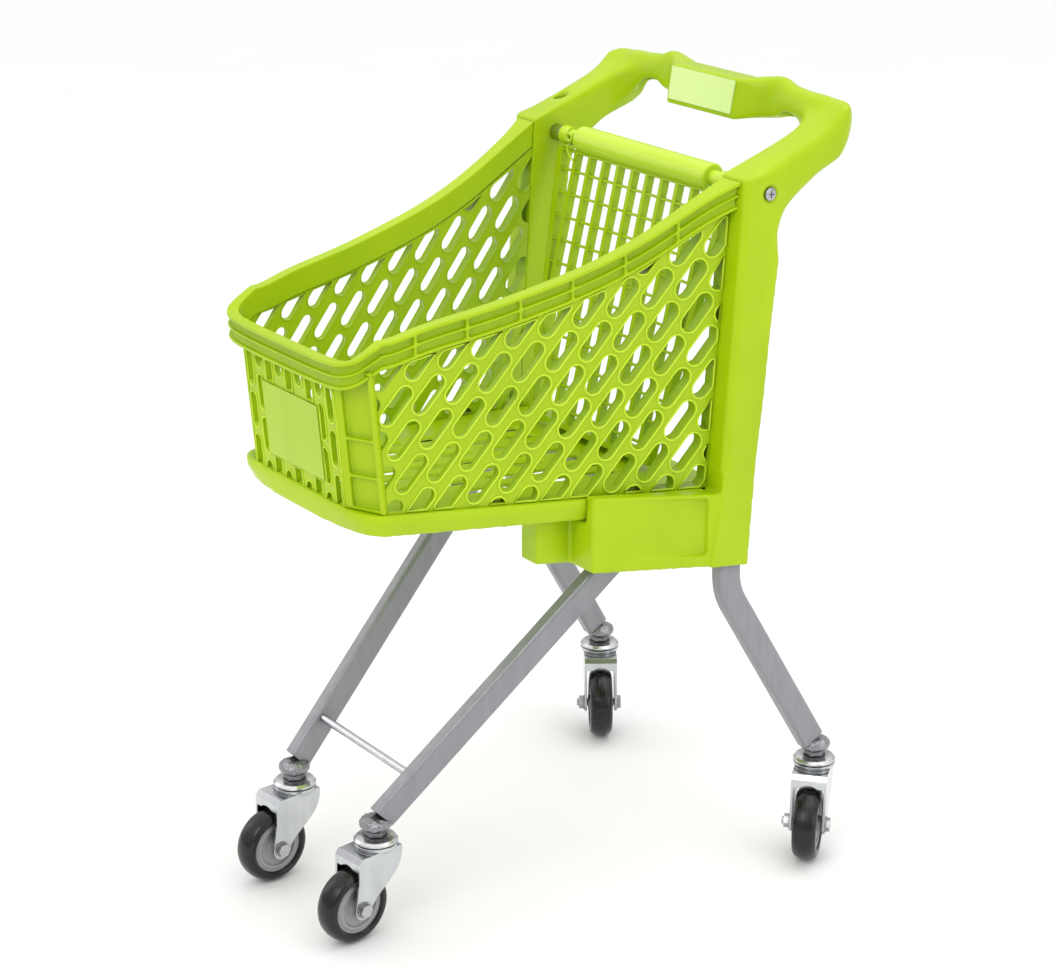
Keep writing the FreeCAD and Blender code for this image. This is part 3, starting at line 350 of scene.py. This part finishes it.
def remeshed(nodes, voxel, rounds):
    """The CAD nodes as one even mesh with rounded edges, as a bmesh."""
    bm = bmesh.new()
    for n in nodes:
        bm.from_mesh(CAD[n].data)
    bmesh.ops.remove_doubles(bm, verts=bm.verts, dist=MERGE)
    me = bpy.data.meshes.new("raw")
    bm.to_mesh(me)
    bm.free()
    raw = bpy.data.objects.new("raw", me)
    bpy.context.collection.objects.link(raw)
    remesh = raw.modifiers.new("remesh", "REMESH")
    remesh.mode = "VOXEL"
    remesh.voxel_size = voxel
    smooth = raw.modifiers.new("smooth", "SMOOTH")
    smooth.factor = 0.5
    smooth.iterations = rounds
    out = bpy.data.meshes.new_from_object(raw.evaluated_get(bpy.context.evaluated_depsgraph_get()))
    bpy.data.objects.remove(raw)
    bm = bmesh.new()
    bm.from_mesh(out)
    bpy.data.meshes.remove(out)
    return bm


def relax(bm, weight, rounds):
    """Smooths further where weight(point) says so."""
    part = {v: weight(v.co) for v in bm.verts}
    part = {v: w for v, w in part.items() if w > 0.01}
    for _ in range(rounds):
        moved = {}
        for v, w in part.items():
            near = sum((e.other_vert(v).co for e in v.link_edges), Vector())
            moved[v] = v.co.lerp(near / len(v.link_edges), 0.5 * w)
        for v, co in moved.items():
            v.co = co


def moulding(name, nodes, voxel, rounds, mat, soft=None, lumps=None):
    """Neighbouring CAD parts shown as one piece with soft edges."""
    bm = remeshed(nodes, voxel, rounds)
    if soft:
        relax(bm, soft, GRIP_ROUNDS)
    if lumps:
        bm.normal_update()
        for v in bm.verts:
            v.co += v.normal * lumps(v.co)
    ob = finish_mesh(name, bm, mat, "cart")
    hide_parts(*nodes)


def tube(bm, pts, r, sides=6, closed=True):
    """Thin round bead through the points."""
    n = len(pts)
    rings = []
    across = None
    for i, p in enumerate(pts):
        before = pts[(i - 1) % n] if closed or i else p
        after = pts[(i + 1) % n] if closed or i < n - 1 else p
        along = (after - before).normalized()
        u = along.orthogonal().normalized() if across is None else across.cross(along).cross(along) * -1
        u = (u - along * u.dot(along)).normalized()
        across = u
        v = along.cross(u)
        ring = []
        for k in range(sides):
            w = 2 * math.pi * k / sides
            ring.append(bm.verts.new(p + u * math.cos(w) * r + v * math.sin(w) * r))
        rings.append(ring)
    for i in range(n if closed else n - 1):
        a, b = rings[i], rings[(i + 1) % n]
        shift = 0
        if closed and i == n - 1:
            shift = min(range(sides), key=lambda s: (a[0].co - b[s].co).length)
        for k in range(sides):
            bm.faces.new((a[k], a[(k + 1) % sides], b[(k + 1 + shift) % sides], b[(k + shift) % sides]))
    if not closed:
        bm.faces.new(rings[0])
        bm.faces.new(list(reversed(rings[-1])))


def lathe(bm, profile, origin, axis, up, steps=40):
    """Closed ring of revolution from an (r, h) outline."""
    axis, up = axis.normalized(), up.normalized()
    side = axis.cross(up)
    rows = []
    for i in range(steps):
        w = 2 * math.pi * i / steps
        d = up * math.cos(w) + side * math.sin(w)
        rows.append([bm.verts.new(origin + d * r + axis * h) for r, h in profile])
    m = len(profile)
    for i in range(steps):
        a, b = rows[i], rows[(i + 1) % steps]
        for k in range(m):
            bm.faces.new((a[k], a[(k + 1) % m], b[(k + 1) % m], b[k]))


def slot_outlines(node, normal):
    """Closed outlines where the face looking along normal meets the slot walls."""
    bm = bmesh.new()
    bm.from_mesh(CAD[node].data)
    bmesh.ops.remove_doubles(bm, verts=bm.verts, dist=MERGE)
    bm.normal_update()
    links = {}
    for e in bm.edges:
        if len(e.link_faces) != 2:
            continue
        facing = [f.normal.dot(normal) for f in e.link_faces]
        if max(facing) > 0.985 and abs(min(facing, key=abs)) < 0.4:
            a, b = e.verts
            links.setdefault(a, []).append(b)
            links.setdefault(b, []).append(a)
    loops, seen = [], set()
    for start in links:
        if start in seen or len(links[start]) != 2:
            continue
        loop, here, last = [start], links[start][0], start
        seen.add(start)
        while here != start and len(links[here]) == 2:
            loop.append(here)
            seen.add(here)
            onward = [w for w in links[here] if w != last]
            if not onward:
                break
            last, here = here, onward[0]
        if here == start and len(loop) > 5:
            loops.append([w.co.copy() for w in loop])
    bm.free()
    return loops


def slot_lips(name, node, normal, r, mat):
    """Thin raised lip round every slot of a wall."""
    bm = bmesh.new()
    for loop in slot_outlines(node, normal):
        if max((p - loop[0]).length for p in loop) > LONGEST_SLOT:
            continue
        pts = [loop[0]]
        for p in loop[1:]:
            if (p - pts[-1]).length > SHORTEST_STEP:
                pts.append(p)
        if len(pts) < 6:
            continue
        centre = sum(pts, Vector()) / len(pts)
        tube(bm, [p + (p - centre).normalized() * r * 0.5 + normal * r * 0.1 for p in pts], r)
    finish_mesh(name, bm, mat, "cart")


# ------------------------------------------------------------------ pieces
def grip_softness(p):
    return ease(p.z, *GRIP_HEIGHTS) * ease(abs(p.x), *GRIP_DISTANCES)


def weld_lump(p):
    n = Vector((p.x, p.y, p.z)) * WELD_GRAIN
    return ease(p.z, *WELD_HEIGHTS) * (WELD_LUMP * noise.noise(n) + WELD_SMALL_LUMP * noise.noise(n * 2.3))


def build_shell():
    shell = MATERIALS["shell"]
    moulding("handle_columns_and_feet",
             ("column_left", "column_right", "handle_bar", "foot_box_left", "foot_box_right"),
             0.0016, 6, shell, soft=grip_softness)
    moulding("basket_rim", ("side_rim_left", "front_rim", "side_rim_right"), 0.0010, 2, shell)
    moulding("tray_moulding", ("tray",), 0.0020, 5, shell)
    for side in ("left", "right"):
        moulding("corner_post_moulding_" + side, ("corner_post_" + side,), 0.0010, 2, shell)


def build_weld_bosses():
    for tag in CASTERS:
        moulding("weld_boss_" + tag, ("stem_" + tag,), 0.0007, 2, MATERIALS["stem"],
                 lumps=weld_lump)


def build_slot_lips():
    for side, sign in (("left", 1), ("right", -1)):
        wall = "side_wall_" + side
        outward = Vector((sign, SIDE_OUTER_LEAN, 0)).normalized()
        inward = Vector((-sign, SIDE_INNER_LEAN, 0)).normalized()
        # The outer lips take the lighter lip green, a painted highlight.
        slot_lips("slot_lips_" + side, wall, outward, OUTER_LIP, MATERIALS["lip"])
        slot_lips("slot_lips_inner_" + side, wall, inward, INNER_LIP, MATERIALS["shell"])
    forward = Vector((0, -1, FRONT_LEAN)).normalized()
    # The front lips take the lighter lip green, a painted highlight.
    slot_lips("front_slot_lips", "front_wall", forward, FRONT_LIP, MATERIALS["lip"])


def build_roll_end():
    """A push-on knob and its wire clip at the far end of the gate roll."""
    hinge = next(Vector(j["pos_m"]) for j in frame["joints"] if j["name"] == "gate_hinge")
    profile = [(0.0019, -0.006), (0.0044, -0.006), (0.0046, 0.0005), (0.0052, 0.0016), (0.0052, 0.0042),
               (0.0044, 0.0052), (0.0034, 0.0052), (0.0030, 0.0040), (0.0019, 0.0040)]
    bm = bmesh.new()
    foot, along = hinge + Vector((-0.1125, -0.0085, 0.002)), Vector((0.25, -1.0, 0.12))
    lathe(bm, profile, foot, along, Vector((0, 0, 1)))
    # The knob takes the lighter roll green, a painted highlight.
    finish_mesh("roll_knob", bm, MATERIALS["roll"], "gate")
    clip = [(-0.1165, -0.0075, -0.004), (-0.1160, -0.0105, -0.008), (-0.1135, -0.0125, -0.012),
            (-0.1095, -0.0130, -0.0155), (-0.1060, -0.0125, -0.0190), (-0.1040, -0.0115, -0.0230)]
    bm = bmesh.new()
    tube(bm, [hinge + Vector(p) for p in clip], 0.0010, 8, False)
    # The clip is drawn in the lighter lip green, a painted highlight.
    finish_mesh("roll_clip", bm, MATERIALS["lip"], "gate")


# ------------------------------------------------------------- stage, light
def make_floor():
    bm = bmesh.new()
    bmesh.ops.create_grid(bm, x_segments=2, y_segments=2, size=30.0)
    me = bpy.data.meshes.new("floor")
    bm.to_mesh(me)
    bm.free()
    ob = bpy.data.objects.new("floor", me)
    ob.location = (0, 0, -0.0004)
    bpy.context.collection.objects.link(ob)
    m = Nodes("floor")
    m.set(Base_Color=m.mix(m.noise(3.0, 2.0), grey(0.90), grey(0.93)), Roughness=0.7)
    ob.data.materials.append(m.mat)


def area(name, loc, target, size, power):
    li = bpy.data.lights.new(name, "AREA")
    li.shape = "RECTANGLE"
    li.size, li.size_y = size
    li.energy = power
    ob = bpy.data.objects.new(name, li)
    ob.location = loc
    ob.rotation_euler = (Vector(target) - Vector(loc)).to_track_quat("-Z", "Y").to_euler()
    bpy.context.collection.objects.link(ob)


def make_sky():
    """A pale studio sky, white overhead and darker towards the horizon."""
    w = bpy.data.worlds.new("studio")
    bpy.context.scene.world = w
    w.use_nodes = True
    t = w.node_tree
    bg = t.nodes["Background"]
    co = t.nodes.new("ShaderNodeTexCoord")
    sep = t.nodes.new("ShaderNodeSeparateXYZ")
    ramp = t.nodes.new("ShaderNodeValToRGB")
    t.links.new(co.outputs["Generated"], sep.inputs[0])
    t.links.new(sep.outputs["Z"], ramp.inputs[0])
    t.links.new(ramp.outputs[0], bg.inputs[0])
    steps = ramp.color_ramp.elements
    steps[0].position, steps[0].color = 0.0, grey(0.38)
    steps[1].position, steps[1].color = 0.75, grey(1.0)
    steps.new(0.22).color = grey(0.48)
    bg.inputs[1].default_value = 1.24


def make_lights():
    make_sky()
    area("key", (1.2, -2.2, 2.4), (0, 0, 0.45), (1.8, 1.4), 18)
    area("top", (0.2, 0.6, 2.8), (0, 0, 0.5), (2.0, 2.0), 13)
    area("side", (2.6, 0.9, 1.1), (0, 0, 0.5), (1.2, 1.6), 8)
    area("left", (-2.2, -1.4, 1.3), (0, 0, 0.4), (1.2, 1.6), 6)


# ------------------------------------------------------------------- scene
make_camera()
MATERIALS = {**make_greens(), **make_greys()}
paint_cad()
build_shell()
build_weld_bosses()
build_slot_lips()
build_roll_end()
make_floor()
make_lights()
bpy.context.scene.view_settings.view_transform = "Standard"
bpy.context.scene.view_settings.look = "None"
